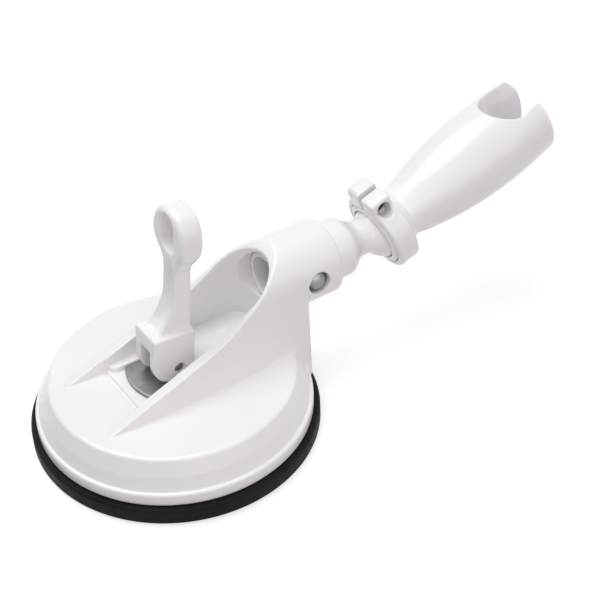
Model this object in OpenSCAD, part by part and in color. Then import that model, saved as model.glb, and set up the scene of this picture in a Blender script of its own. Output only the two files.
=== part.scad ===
// Lever-lock suction cup with a plug-in, ball-jointed holder.
// Millimetres. Origin at the centre of the pad's suction face, +Z up, +X towards the arm.

/* [Suction pad] */
// Diameter of the rubber pad
pad_d = 120; // [110:1:130]
// Height of the pad's outer rim
pad_rim_h = 7.8; // [7:0.1:9]
// Width of the pad's outer rim
pad_rim_w = 6; // [5:0.5:8]
// Thickness of the pad's middle
pad_web_t = 4.4; // [3:0.1:5]
// Bevel on the pad's outer edges
pad_bevel = 1.2; // [0.5:0.1:2]

/* [Stud and pad plate] */
// Diameter of the steel plate on the pad's back
plate_d = 56; // [44:1:70]
// Thickness of the steel plate
plate_t = 2; // [1.5:0.1:2.5]
// Diameter of the draw stud
stud_d = 9; // [8:0.1:9.5]
// Thickness of the stud's eye across its flats
stud_flat_t = 7.2; // [6:0.1:7.5]
// Diameter of the shoulder that the plate is held by
stud_shoulder_d = 14; // [12:0.5:16]
// Height of that shoulder
stud_shoulder_h = 2.4; // [1.5:0.1:3]
// Wire diameter of the release spring
spring_wire = 1.6; // [1.2:0.1:2]
// Mean diameter of the release spring
spring_d = 20.4; // [19.5:0.1:22]
// Number of turns of the release spring
spring_turns = 4.5; // [3:0.5:5]

/* [Housing disc] */
// Pad edge to flange edge
flange_inset = 2.6; // [1.5:0.1:4]
// Height of the flange
flange_h = 5.8; // [4:0.1:7]
// Rounding of the flange's upper edge
flange_round = 1.2; // [0.6:0.1:2]
// Width of the ledge on top of the flange
ledge_w = 1.6; // [1:0.1:3]
// Height of the steep lower wall
low_wall_h = 5.8; // [4:0.1:7]
// How far the lower wall leans in
low_wall_lean = 2; // [1:0.1:3]
// How far the upper wall leans in
top_wall_lean = 2.6; // [1.5:0.1:4]
// Rounding of the top edge
top_round = 1.5; // [0.6:0.1:2]
// Height of the disc above the pad's rim
housing_h = 18.6; // [17:0.1:22]
// Thickness of the disc's walls
wall_t = 3; // [2.5:0.1:4]
// Outside diameter of the stud guide
guide_d = 15.5; // [14:0.5:16]
// Length of the stud guide
guide_l = 9; // [6:0.5:9.5]
// Number of ribs under the disc
rib_count = 8; // [4:1:12]
// Thickness of a rib
rib_t = 2; // [1.5:0.1:3]
// Depth of a rib
rib_h = 4; // [2:0.5:5]

/* [Bracket] */
// Disc centre to the tips of the side walls
fin_tip_x = 39.6; // [36:0.1:42]
// Half the width over the walls at their tips
fin_half_w = 19.5; // [18.5:0.1:21]
// Thickness of a side wall at its tip
fin_t = 3.9; // [3:0.1:4.2]
// Lean of the side walls at their tips, as a slope
tip_draft = 0.088; // [0.04:0.002:0.12]
// Lean of the side walls at their middle, as a slope
mid_draft = 0.136; // [0.1:0.002:0.16]
// How far the rims stand out past the tube at their middle
mid_swell = 1.7; // [1:0.1:2.5]
// Place along the arm where the rims start to draw in
shoulder_x = 30; // [26:0.5:34]
// How far the rims stand out past the tube there
shoulder_swell = 1; // [0.5:0.1:1.6]
// Place along the arm where the walls' feet draw in to the back
hip_x = 47; // [44:0.5:50]
// How far the walls' feet stand out past the tube there
hip_flare = 4.1; // [3:0.1:5]
// How far the walls' feet stand out past the tube at the back
back_flare = 1; // [0.5:0.1:2]
// How far the walls lie inside the tube at the back
back_tuck = 0.3; // [0.1:0.1:1]
// Rounding of the walls' back corners
back_round = 1.4; // [1:0.1:5]
// Height over which the walls ease into the tube above its axis
ease_h = 12; // [8:0.5:14]
// Disc centre to the back of the lever well
well_back_x = 46.6; // [44:0.1:48]
// Disc centre to the step in front of the well floor
well_step_x = 22.3; // [21:0.1:25]
// Height of that step
well_step_h = 0.6; // [0.3:0.1:1]
// Height at which the walls' rims start to curve up
rim_bend_h = 43.6; // [42:0.1:46]
// Place along the arm where the rims start to curve up
rim_bend_x = 8; // [4:0.5:12]
// Place along the arm where the rims reach the top of the tube
rim_end_x = 52; // [50:0.5:56]
// How long the rims keep their slope as they start to curve
rim_lead = 21; // [16:0.5:24]
// How long the rims ease into the top of the tube
rim_ease = 7; // [4:0.5:10]
// Height of the raised floor round the wear plate
rail_h = 2.4; // [1:0.1:2.6]
// Disc centre to the front ends of the rails
rail_front_x = 21; // [19:0.1:22]

/* [Socket tube] */
// Outside diameter of the tube
tube_d = 33; // [31:0.1:36]
// Height of the tube's axis
tube_axis_h = 52.2; // [50:0.1:56]
// Disc centre to the end of the tube
tube_end_x = 75.2; // [72:0.1:84]
// Rounding of the tube's end
tube_round = 1.6; // [0.8:0.1:2.5]
// Clearance of the plugged-in shaft
shaft_gap = 0.1; // [0.05:0.01:0.2]

/* [Wear plate] */
// Thickness of the steel wear plate
wear_t = 1.5; // [1:0.1:2]
// Width of the wear plate
wear_w = 22.8; // [20:0.1:24]
// Disc centre to the front of the wear plate
wear_front_x = 18.5; // [16:0.1:19.5]
// Disc centre to the back of the wear plate
wear_back_x = 7.8; // [7.6:0.1:9]
// Radius of its curved front edge
wear_arc_r = 22; // [18:1:40]
// Clearance round the wear plate
wear_gap = 0.3; // [0.1:0.05:0.5]

/* [Lever] */
// Lean of the open lever
lever_lean = 6; // [2:1:10]
// Diameter of the lever pin
pin_d = 4; // [3:0.1:4.5]
// Diameter of the recesses round the pin's ends
pin_recess_d = 5.2; // [4.6:0.1:6]
// Depth of those recesses
pin_recess_h = 0.8; // [0.4:0.1:1.2]
// Width of the clevis block
block_w = 15.6; // [14:0.1:16.5]
// Pin to the block's front face
block_front = 12; // [11:0.1:13]
// Pin to the block's back face
block_back = 6.8; // [6.5:0.1:8]
// Pin to the block's top
block_top = 17; // [15:0.1:18]
// Pin to the cam face of the open lever
cam_low = 4.6; // [4.2:0.1:5.5]
// Clearance between cam and wear plate
cam_gap = 0.3; // [0.1:0.05:0.5]
// Height of the slot above the pin
slot_top = 10; // [8:0.1:12]
// Side clearance of the stud's eye in the slot
eye_gap = 0.2; // [0.1:0.05:0.4]
// Width of the stem
stem_w = 10; // [8:0.1:12]
// Pin axis to the stem's front
stem_front = 1.3; // [0.5:0.1:2]
// Pin axis to the stem's back
stem_back = 6.3; // [5:0.1:6.5]
// Pin to the lever's tip
lever_len = 74.5; // [70:0.5:80]
// Width of the head
head_w = 23.6; // [21:0.1:26]
// Length of the head
head_l = 29; // [27:0.1:32]
// How far the head stands out past the stem in front
head_step_front = 0.2; // [0:0.1:2]
// How far the head stands out past the stem at the back
head_step_back = 1.6; // [0.5:0.1:3]
// Width of the finger loop
loop_w = 12.8; // [11:0.1:14]
// Length of the finger loop
loop_l = 15.4; // [14.5:0.1:18]

/* [Neck] */
// Diameter of the plug-in shaft
shaft_d = 24; // [22:0.1:25]
// Bore of the plug-in shaft
shaft_bore_d = 19.2; // [17:0.1:20]
// Depth of the shaft's end inside the back of the well
shaft_inset = 0.3; // [0.2:0.1:2]
// Diameter of the collar against the tube
collar_d = 26; // [24:0.1:28]
// Length of the collar
collar_l = 8; // [5:0.1:9]
// Diameter of the waist behind the ball
waist_d = 16.4; // [14:0.1:17]
// Tube end to the ball's centre
ball_reach = 32.1; // [30:0.1:36]
// Diameter of the ball
ball_d = 24.4; // [23.5:0.1:25]

/* [Snap button] */
// Diameter of the button
button_d = 8; // [6:0.1:8.2]
// Diameter of the button's hole in the tube
button_hole_d = 9.5; // [8.8:0.1:11]
// Tube end to the button's axis
button_back = 12.1; // [10:0.1:16]
// Height of the button's dome
button_dome_h = 2.2; // [1:0.1:3]
// How far the dome's top lies inside the tube's skin
button_inset = 0.3; // [0:0.1:1]
// Diameter of the button's foot
button_foot_d = 10; // [9:0.1:10.4]
// Thickness of the button's foot
button_foot_t = 1.8; // [1:0.1:2]
// Clearance of the button in the shaft
button_gap = 0.1; // [0.05:0.01:0.15]
// Wire diameter of the button's spring
button_wire = 0.6; // [0.4:0.1:0.7]
// Number of turns of the button's spring
button_turns = 4; // [3:1:5]

/* [Ball clamp] */
// Clearance on each side of the liner
ball_gap = 0.15; // [0.1:0.01:0.2]
// Thickness of the friction liner
liner_t = 0.85; // [0.6:0.05:1]
// How far the liner reaches behind the ball's centre
liner_back = 1.5; // [0.5:0.1:2]
// How far the liner reaches past the ball's centre
liner_front = 6.5; // [4:0.1:7]
// Thickness of the holder's split skirt
skirt_t = 1.55; // [1.3:0.05:2]
// How far the skirt reaches behind the ball's centre
skirt_reach = 6.5; // [6:0.1:6.8]
// Width of the slit in the skirt
skirt_slit_w = 1.4; // [0.8:0.1:2]
// How far the clamp ring reaches behind the ball's centre
ring_back = 5; // [4:0.1:5.4]
// Width of the clamp ring
ring_w = 11; // [9:0.1:11.5]
// Thickness of the clamp ring
ring_t = 2.9; // [2.5:0.1:4]
// Clearance between ring and skirt
ring_gap = 0.3; // [0.2:0.05:0.4]
// Rounding of the ring's outer edges
ring_round = 1; // [0.5:0.1:1.4]
// Width of the ring's slit
slit_w = 2.6; // [1.5:0.1:3.5]
// Ball's centre to the slit's middle, sideways
slit_y = 0.6; // [-1:0.1:2]
// Length of the near ear, from the slit
ear_near_l = 7.4; // [6.5:0.1:9]
// Length of the far ear, from the slit
ear_far_l = 7.8; // [7:0.1:9]
// Height of the near ear above the screw's pocket
ear_near_h = 0.5; // [0.4:0.1:1.5]
// How far the far ear stands above the near ear
ear_step = 0.7; // [0:0.1:1.5]
// Rounding of the ears' corners
ear_round = 2.2; // [1:0.1:2.4]
// Wall between the screw's pocket and the ring's bore
pocket_wall = 0.4; // [0.3:0.1:1]
// Diameter of the clamp screw
screw_d = 3; // [2.5:0.1:3.2]
// Diameter of the screw's head
head_d = 6; // [5:0.1:6.4]
// Height of the screw's head
head_h = 2.4; // [1.5:0.1:3]
// Width across the flats of the key socket in the screw's head
key_w = 2.5; // [2:0.1:2.8]
// Clearance round the screw, its head and the nut
screw_gap = 0.2; // [0.1:0.05:0.3]
// Length of the near ear that the screw's head bears on
head_seat_t = 2; // [1.5:0.1:3]
// Thickness of the washer under the screw's head
washer_t = 0.5; // [0.3:0.1:0.8]
// Width of the nut across its flats
nut_w = 5.5; // [5:0.1:5.6]
// Thickness of the nut
nut_t = 2.4; // [1.8:0.1:2.6]

/* [Holder] */
// Angle of the holder above the neck's axis
holder_tilt = 18.8; // [5:0.1:19]
// Ball's centre to the middle of the holder's domed end
holder_l = 87.3; // [84:0.1:94]
// Radius of the domed end
end_dome_r = 31; // [26:0.5:50]
// Largest diameter of the holder
holder_d = 37.8; // [36:0.1:42]
// Diameter of the holder's throat above the clamp ring
throat_d = 22.8; // [22.4:0.1:25]
// Ball's centre to the throat
throat_x = 9.3; // [8.8:0.1:9.6]
// Ball's centre to the widest place
swell_x = 58; // [54:0.5:62]
// Diameter at the rim of the domed end
holder_end_d = 35.6; // [33:0.1:37]
// Rounding of that rim
holder_round = 2; // [0.8:0.1:3]
// Thickness of the holder's wall
holder_t = 2.6; // [2:0.1:3]
// Diameter of the cradle
cradle_d = 20.4; // [18:0.1:24]
// Cradle axis to the middle of the domed end
cradle_back = 14.9; // [14.5:0.1:17]
// Height of the cradle's lead-in
lead_h = 6; // [2:0.1:8]
// Widening of the cradle's lead-in
lead_w = 2.2; // [0.4:0.1:3]
// Width of the slot in the holder's end
slot_w = 17.6; // [14:0.1:21.6]

/* [Hidden] */
$fn = 96;

// Small distances shared by many fits
fit_gap = 0.05;
bed_gap = 0.1;
over = 1;
coil_sides = 6;
coil_rings = 10;

white = [0.93, 0.92, 0.93];
rubber = [0.12, 0.12, 0.12];
steel = [0.62, 0.62, 0.63];
nylon = [0.80, 0.80, 0.78];

// Pad and housing disc
pad_r = pad_d / 2;
flange_r = pad_r - flange_inset;
flange_z = pad_rim_h;
ledge_z = flange_z + flange_h;
ledge_r = flange_r - ledge_w;
break_r = ledge_r - low_wall_lean;
break_z = ledge_z + low_wall_h;
top_r = break_r - top_wall_lean;
top_z = flange_z + housing_h;
ceiling_z = top_z - wall_t;

// Lever well and wear plate
well_r = fin_half_w - fin_t;
well_center_x = well_back_x - well_r;
floor_z = top_z + well_step_h;
raised_z = floor_z + rail_h;
raised_x = wear_back_x + wear_gap;
wear_z = floor_z + wear_t;
rail_in = wear_w / 2 + wear_gap;

// Bracket walls, as half widths low at the flange and high at the tube's axis
tube_r = tube_d / 2;
tube_top_z = tube_axis_h + tube_r;
wall_rise = tube_axis_h - flange_z;
rim_slope = (rim_bend_h - top_z) / (rim_bend_x + fin_tip_x);
tip_high_w = fin_half_w - tip_draft * (tube_axis_h - top_z);
tip_low_w = tip_high_w + tip_draft * wall_rise;
mid_high_w = tube_r + mid_swell;
mid_low_w = mid_high_w + mid_draft * wall_rise;
shoulder_high_w = tube_r + shoulder_swell;
shoulder_low_w = shoulder_high_w + mid_draft * wall_rise;
hip_low_w = tube_r + hip_flare;
back_low_w = tube_r + back_flare;

// Lever and its cam: the cam's reach grows evenly with the fold, from cam_low to block_front
pin_z = wear_z + cam_gap + cam_low;
fold_deg = 90 + lever_lean;
cam_rate = (block_front - cam_low) / (fold_deg * PI / 180);
stud_lift = cam_rate * fold_deg * PI / 180;
stud_r = stud_d / 2;
pin_r = pin_d / 2;
slot_half_w = stud_flat_t / 2 + eye_gap;
slot_back = stud_r + 2 * eye_gap;
head_front = stem_front + head_step_front;
head_back = stem_back + head_step_back;
head_mid = lever_len - head_l / 2;

// Stud and release spring
plate_z = pad_web_t + bed_gap;
plate_top_z = plate_z + plate_t;
stud_flat_z = wear_z - stud_lift - 2 * over;
spring_low_z = plate_top_z + bed_gap + spring_wire / 2;
spring_high_z = ceiling_z - bed_gap - spring_wire / 2;

// Neck and ball
shaft_r = shaft_d / 2;
shaft_x = well_back_x + shaft_inset;
ball_x = tube_end_x + ball_reach;
ball_r = ball_d / 2;
waist_r = waist_d / 2;
button_x = tube_end_x - button_back;
button_r = button_d / 2;
button_tip = tube_r - button_inset;
button_foot_r = button_foot_d / 2;
foot_y = sqrt(pow(shaft_bore_d / 2, 2) - pow(button_foot_r, 2)) - bed_gap;
button_spring_r = button_r - button_wire;
button_seat = sqrt(pow(shaft_bore_d / 2, 2) - pow(button_spring_r + button_wire, 2));

// Ball clamp
liner_in_r = ball_r + ball_gap;
liner_out_r = liner_in_r + liner_t;
cavity_r = liner_out_r + ball_gap;
skirt_r = cavity_r + skirt_t;
ring_in_r = skirt_r + ring_gap;
ring_out_r = ring_in_r + ring_t;
ring_front = ring_w - ring_back;
ring_mid = (ring_front - ring_back) / 2;
pocket_r = head_d / 2 + screw_gap;
near_face = slit_y - slit_w / 2 - ear_near_l;
far_face = slit_y + slit_w / 2 + ear_far_l;
head_seat = slit_y - slit_w / 2 - head_seat_t;
screw_z = sqrt(pow(ring_in_r, 2) - pow(head_seat, 2)) + pocket_r + pocket_wall;
nut_seat = far_face - nut_t - screw_gap;

// Holder
holder_r = holder_d / 2;
throat_r = throat_d / 2;
end_r = holder_end_d / 2;
cradle_r = cradle_d / 2;
cradle_x = holder_l - cradle_back;
core_x = cradle_x - cradle_r - holder_t;
dome_x = holder_l - end_dome_r;
rim_in = end_r - holder_round;
rim_x = dome_x + sqrt(pow(end_dome_r - holder_round, 2) - pow(rim_in, 2));
rim_deg = asin(rim_in / (end_dome_r - holder_round));

// A cubic curve through its two end points, and an arc
function curve(a, b, c, d, n = 10) = [for (i = [0 : n]) let (t = i / n, u = 1 - t)
    u * u * u * a + 3 * u * u * t * b + 3 * u * t * t * c + t * t * t * d];
function arc(mid, r, from, to, n = 6) = [for (i = [0 : n]) let (a = from + (to - from) * i / n)
    mid + r * [cos(a), sin(a)]];

// A smooth curve through all its points
function through(p, n = 6) = concat([for (i = [0 : len(p) - 2], k = [0 : n - 1]) let (t = k / n,
    a = p[max(i - 1, 0)], b = p[i], c = p[i + 1], d = p[min(i + 2, len(p) - 1)])
    b + t / 2 * ((c - a) + t * ((2 * a - 5 * b + 4 * c - d) + t * (3 * (b - c) + d - a)))],
    [p[len(p) - 1]]);

// Point of the cam where the lever's underside has turned by a degrees
function cam_point(a) = let (reach = cam_low + cam_rate * (a + lever_lean) * PI / 180)
    [-reach * sin(a) - cam_rate * cos(a), -reach * cos(a) + cam_rate * sin(a)];

// Mirrored outline from half widths [place, half width]
function both_sides(half) = concat(half, [for (i = [len(half) - 1 : -1 : 0]) [half[i][0], -half[i][1]]]);

module along_x() { rotate([0, 90, 0]) children(); }
module along_y() { rotate([-90, 0, 0]) children(); }
// Solid of revolution about +X from points [station, radius]
module turned(profile) { along_x() rotate_extrude() polygon([for (p = profile) [p[1], p[0]]]); }
// Side outline in X and Z, extruded evenly along Y
module side_plate(outline, w) { rotate([90, 0, 0]) linear_extrude(w, center = true) polygon(outline); }
// Front outline in Y and Z, extruded from x0 to x1
module front_plate(outline, x0, x1) {
    translate([x0, 0, 0]) rotate([90, 0, 90]) linear_extrude(x1 - x0) polygon(outline);
}
module at_lever() { translate([0, 0, pin_z]) rotate([0, lever_lean, 0]) children(); }
module at_ball() { translate([ball_x, 0, tube_axis_h]) children(); }
module at_holder() { at_ball() rotate([0, -holder_tilt, 0]) children(); }

// Wound wire from z = 0 to h, as one unbroken tube
module coil(r, wire, h, turns) {
    steps = ceil(turns * coil_rings);
    points = [for (i = [0 : steps], k = [0 : coil_sides - 1])
        let (a = 360 * turns * i / steps, b = 360 * k / coil_sides, q = r + wire / 2 * cos(b))
        [q * cos(a), q * sin(a), h * i / steps + wire / 2 * sin(b)]];
    skin = [for (i = [0 : steps - 1], k = [0 : coil_sides - 1])
        let (a = i * coil_sides, j = (k + 1) % coil_sides)
        each [[a + k, a + coil_sides + k, a + j], [a + j, a + coil_sides + k, a + coil_sides + j]]];
    last = steps * coil_sides;
    caps = [for (k = [1 : coil_sides - 2]) each [[0, k, k + 1], [last, last + k + 1, last + k]]];
    polyhedron(points, concat(skin, caps));
}

module suction_pad() {
    color(rubber) rotate_extrude() polygon([
        [0, 0], [pad_r - pad_bevel, 0], [pad_r, pad_bevel], [pad_r, pad_rim_h - pad_bevel],
        [pad_r - pad_bevel, pad_rim_h], [pad_r - pad_rim_w, pad_rim_h],
        [pad_r - pad_rim_w - (pad_rim_h - pad_web_t), pad_web_t], [0, pad_web_t]]);
}

module pad_plate() {
    color(steel) translate([0, 0, plate_z]) difference() {
        cylinder(d = plate_d, h = plate_t);
        translate([0, 0, -over]) cylinder(r = stud_r + fit_gap, h = plate_t + 2 * over);
    }
}

module draw_stud() {
    eye_top_z = pin_z + stud_r;
    color(steel) difference() {
        union() {
            translate([0, 0, plate_z]) cylinder(d = stud_d, h = pin_z - plate_z);
            translate([0, 0, plate_top_z]) cylinder(d = stud_shoulder_d, h = stud_shoulder_h);
            translate([0, stud_r, pin_z]) rotate([90, 0, 0]) cylinder(d = stud_d, h = stud_d);
        }
        for (s = [0, 1]) mirror([0, s, 0]) translate([-stud_d, stud_flat_t / 2, stud_flat_z])
            cube([2 * stud_d, stud_d, eye_top_z + over - stud_flat_z]);
        translate([0, -stud_d, pin_z]) along_y() cylinder(r = pin_r + fit_gap, h = 2 * stud_d);
    }
}

module release_spring() {
    pitch = (spring_high_z - spring_low_z) / spring_turns;
    echo(release_spring_gap = pitch - spring_wire);
    color(steel) translate([0, 0, spring_low_z])
        coil(spring_d / 2, spring_wire, spring_high_z - spring_low_z, spring_turns);
}

// Outer form of the disc, down to the flange's underside
module disc() {
    rotate_extrude() polygon(concat(
        [[0, flange_z], [flange_r, flange_z]],
        arc([flange_r - flange_round, ledge_z - flange_round], flange_round, 0, 90),
        [[ledge_r, ledge_z], [break_r, break_z]],
        arc([top_r - top_round, top_z - top_round], top_round, 20, 90),
        [[0, top_z]]));
}

// Hollow under the disc, with the stud guide and the ribs left standing
module disc_hollow() {
    rib_in = (spring_d + spring_wire) / 2 + over;
    difference() {
        rotate_extrude() polygon([
            [0, flange_z - over], [ledge_r - wall_t, flange_z - over], [ledge_r - wall_t, ledge_z],
            [break_r - wall_t, break_z], [top_r - wall_t, ceiling_z], [0, ceiling_z]]);
        translate([0, 0, top_z - guide_l]) cylinder(d = guide_d, h = guide_l);
        for (i = [0 : rib_count - 1]) rotate(360 * (i + 0.5) / rib_count)
            translate([rib_in, -rib_t / 2, ceiling_z - rib_h]) cube([top_r, rib_t, rib_h + over]);
    }
}

// Half outline of the side walls, smooth from the tips to a rounded back corner
function wall_half(p) = let (w = p[len(p) - 1][1])
    concat(through(p), arc([flange_r - back_round, w - back_round], back_round, 70, 0, 5));

// Two leaning side walls as one block that eases into the tube above its axis
module wall_block() {
    low = wall_half([[-fin_tip_x, tip_low_w], [rim_bend_x, mid_low_w], [shoulder_x, shoulder_low_w],
                     [hip_x, hip_low_w], [flange_r - back_round, back_low_w]]);
    high = wall_half([[-fin_tip_x, tip_high_w], [rim_bend_x, mid_high_w], [shoulder_x, shoulder_high_w],
                      [flange_r - back_round, tube_r - back_tuck]]);
    steps = 4;
    skin = 0.01;
    hull() {
        translate([0, 0, flange_z]) linear_extrude(skin) polygon(both_sides(low));
        for (i = [0 : steps]) let (h = ease_h * i / steps, w = sqrt(pow(tube_r, 2) - pow(h, 2)))
            translate([0, 0, tube_axis_h + h - skin]) linear_extrude(skin)
                polygon(both_sides([for (p = high) [p[0], w * p[1] / tube_r]]));
    }
}

// Everything below the S-shaped rims
module under_rims() {
    side_plate(concat(
        [[-fin_tip_x, flange_z], [-fin_tip_x, top_z]],
        curve([rim_bend_x, rim_bend_h],
              [rim_bend_x + rim_lead, rim_bend_h + rim_lead * rim_slope],
              [rim_end_x - rim_ease, tube_top_z], [rim_end_x, tube_top_z], 12),
        [[tube_end_x + over, tube_top_z], [tube_end_x + over, flange_z]]), 4 * fin_half_w);
}

module socket_tube() {
    translate([0, 0, tube_axis_h]) turned(concat(
        [[0, 0], [0, tube_r]],
        arc([tube_end_x - tube_round, tube_r - tube_round], tube_round, 90, 0),
        [[tube_end_x, 0]]));
}

// Space between the side walls, round at the back, with its floor raised behind the wear plate
module lever_well() {
    high = tube_top_z;
    translate([well_center_x, 0, raised_z]) cylinder(r = well_r, h = high);
    translate([-well_step_x, -well_r, raised_z]) cube([well_step_x + well_center_x, 2 * well_r, high]);
    translate([-well_step_x, -well_r, floor_z]) cube([well_step_x + raised_x, 2 * well_r, rail_h + over]);
    translate([-fin_tip_x - over, -well_r, top_z])
        cube([fin_tip_x - well_step_x + over, 2 * well_r, high]);
}

// Arm of the raised floor on one side of the wear plate, with a rounded inner corner in front
module rail() {
    corner_r = (well_r - rail_in) * 0.8;
    translate([0, 0, floor_z - over]) linear_extrude(rail_h + over) polygon(concat(
        [[raised_x + over, well_r + over], [-rail_front_x, well_r + over]],
        arc([-rail_front_x + corner_r, rail_in + corner_r], corner_r, 180, 270),
        [[raised_x + over, rail_in]]));
}

module base_housing() {
    color(white) difference() {
        union() {
            difference() {
                union() {
                    disc();
                    intersection() {
                        union() { wall_block(); socket_tube(); }
                        under_rims();
                    }
                }
                lever_well();
            }
            rail();
            mirror([0, 1, 0]) rail();
        }
        disc_hollow();
        translate([0, 0, flange_z]) cylinder(r = stud_r + fit_gap, h = tube_top_z);
        translate([well_center_x, 0, tube_axis_h]) along_x()
            cylinder(r = shaft_r + shaft_gap, h = tube_end_x);
        translate([button_x, -tube_d, tube_axis_h]) along_y() cylinder(d = button_hole_d, h = tube_d);
    }
}

module wear_plate() {
    color(steel) translate([0, 0, floor_z]) difference() {
        intersection() {
            translate([wear_arc_r - wear_front_x, 0, 0]) cylinder(r = wear_arc_r, h = wear_t);
            translate([-wear_front_x - over, -wear_w / 2, -over])
                cube([wear_front_x + wear_back_x + over, wear_w, wear_t + 2 * over]);
        }
        translate([0, 0, -over]) cylinder(r = stud_r + 2 * wear_gap, h = wear_t + 2 * over);
    }
}

// Side outline of the lever: cam, block, curved stem and head
module lever_side() {
    side_plate(concat(
        [for (i = [0 : 10]) cam_point(-lever_lean + fold_deg * i / 10)],
        [[-block_front, block_top]],
        curve([-block_front + 3.4, block_top], [-block_front + 6.4, block_top + 4],
              [-stem_front, block_top + 10], [-stem_front, block_top + 20], 8),
        [[-stem_front, head_mid - head_l / 2 + 2], [-head_front, head_mid - head_l / 4]],
        arc([-head_front + 3, lever_len - 3], 3, 180, 90, 4),
        arc([head_back - 3, lever_len - 3], 3, 90, 0, 4),
        [[head_back, head_mid - head_l / 2 + 4], [stem_back, head_mid - head_l / 2],
         [stem_back, block_top + 2], [block_back, block_top + 1], [block_back, -cam_low / 2]],
        [[stud_r, -cam_low - cam_rate * sin(lever_lean) + (stud_r + cam_rate) * tan(lever_lean)]]),
        2 * head_w);
}

// Front outline of the lever: block, waisted stem and oval head
module lever_front() {
    half = concat(
        [[-block_front, block_w / 2], [block_top, block_w / 2]],
        curve([block_top, stem_w / 2 + 1.6], [block_top + 6, stem_w / 2 + 0.4],
              [block_top + 8, stem_w / 2], [block_top + 14, stem_w / 2], 6),
        curve([head_mid - head_l / 2 - 3, stem_w / 2], [head_mid - head_l / 2 + 1, stem_w / 2],
              [head_mid - head_l / 2 + 2, head_w / 2 - 3], [head_mid - head_l / 4, head_w / 2 - 1], 6),
        [for (i = [0 : 12]) let (a = -20 + 110 * i / 12)
            [head_mid + head_l / 2 * sin(a), head_w / 2 * cos(a)]]);
    front_plate([for (p = both_sides(half)) [p[1], p[0]]], -2 * block_front, 2 * block_front);
}

module lever() {
    loop_r = loop_w / 2;
    color(white) at_lever() difference() {
        intersection() { lever_side(); lever_front(); }
        for (s = [-1, 1]) translate([-2 * block_front, 0, head_mid + s * (loop_l / 2 - loop_r)])
            along_x() cylinder(r = loop_r, h = 4 * block_front);
        translate([-2 * block_front, -loop_r, head_mid - loop_l / 2 + loop_r])
            cube([4 * block_front, loop_w, loop_l - loop_w]);
        translate([-2 * block_front, -slot_half_w, -block_front])
            cube([2 * block_front, 2 * slot_half_w, block_front + slot_top]);
        rotate([0, -lever_lean, 0]) translate([-over, -slot_half_w, -2 * block_front])
            cube([slot_back + over, 2 * slot_half_w, 2 * block_front]);
        translate([0, -slot_half_w, 0]) along_y() cylinder(r = slot_back, h = 2 * slot_half_w);
        translate([0, -block_w, 0]) along_y() cylinder(r = pin_r + fit_gap, h = 2 * block_w);
        for (s = [0, 1]) mirror([0, s, 0]) translate([0, block_w / 2 - pin_recess_h, 0]) along_y()
            cylinder(d = pin_recess_d, h = pin_recess_h + over);
    }
}

module lever_pin() {
    tuck = pin_recess_h + bed_gap;
    color(steel) translate([0, -block_w / 2 + tuck, pin_z]) along_y()
        cylinder(d = pin_d, h = block_w - 2 * tuck);
}

module neck() {
    collar_r = collar_d / 2;
    edge = 0.8;
    collar_x = tube_end_x + collar_l;
    waist_x = ball_x - ball_r - 2.1;
    color(white) difference() {
        union() {
            translate([0, 0, tube_axis_h]) turned(concat(
                [[shaft_x, 0], [shaft_x, shaft_r - edge], [shaft_x + edge, shaft_r], [tube_end_x, shaft_r],
                 [tube_end_x, collar_r - edge / 2], [tube_end_x + edge / 2, collar_r]],
                curve([collar_x, collar_r], [collar_x + 3.2, collar_r - 0.3],
                      [waist_x - 4.6, waist_r], [waist_x, waist_r], 8),
                [[ball_x, waist_r], [ball_x, 0]]));
            at_ball() sphere(r = ball_r);
        }
        translate([shaft_x - over, 0, tube_axis_h]) along_x()
            cylinder(d = shaft_bore_d, h = tube_end_x - shaft_x);
        translate([button_x, -shaft_d, tube_axis_h]) along_y()
            cylinder(r = button_r + button_gap, h = shaft_d);
    }
}

module snap_button() {
    dome_r = (pow(button_r, 2) + pow(button_dome_h, 2)) / (2 * button_dome_h);
    dome_half = asin(button_r / dome_r);
    color(steel) translate([button_x, 0, tube_axis_h]) rotate([90, 0, 0]) rotate_extrude() polygon(concat(
        [[0, foot_y - button_foot_t], [button_foot_r, foot_y - button_foot_t], [button_foot_r, foot_y],
         [button_r, foot_y]],
        arc([0, button_tip - dome_r], dome_r, 90 - dome_half, 90, 6)));
}

module button_spring() {
    low = -foot_y + button_foot_t + bed_gap + button_wire / 2;
    high = button_seat - bed_gap - button_wire / 2;
    echo(button_spring_gap = (high - low) / button_turns - button_wire);
    color(steel) translate([button_x, low, tube_axis_h]) along_y()
        coil(button_spring_r, button_wire, high - low, button_turns);
}

module ball_liner() {
    color(nylon) at_ball() intersection() {
        difference() {
            sphere(r = liner_out_r);
            sphere(r = liner_in_r);
        }
        translate([-liner_back, -cavity_r, -cavity_r])
            cube([liner_back + liner_front, 2 * cavity_r, 2 * cavity_r]);
    }
}

// Ears of the clamp ring as one block, before the slit is cut
module ring_ears() {
    near_top = screw_z + pocket_r + ear_near_h;
    far_top = near_top + ear_step;
    front_plate(concat(
        [[near_face, 0]],
        arc([near_face + ear_round, near_top - ear_round], ear_round, 180, 90, 4),
        arc([far_face - ear_round, far_top - ear_round], ear_round, 90, 0, 4),
        [[far_face, 0]]), -ring_back, ring_front - ring_round);
}

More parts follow.
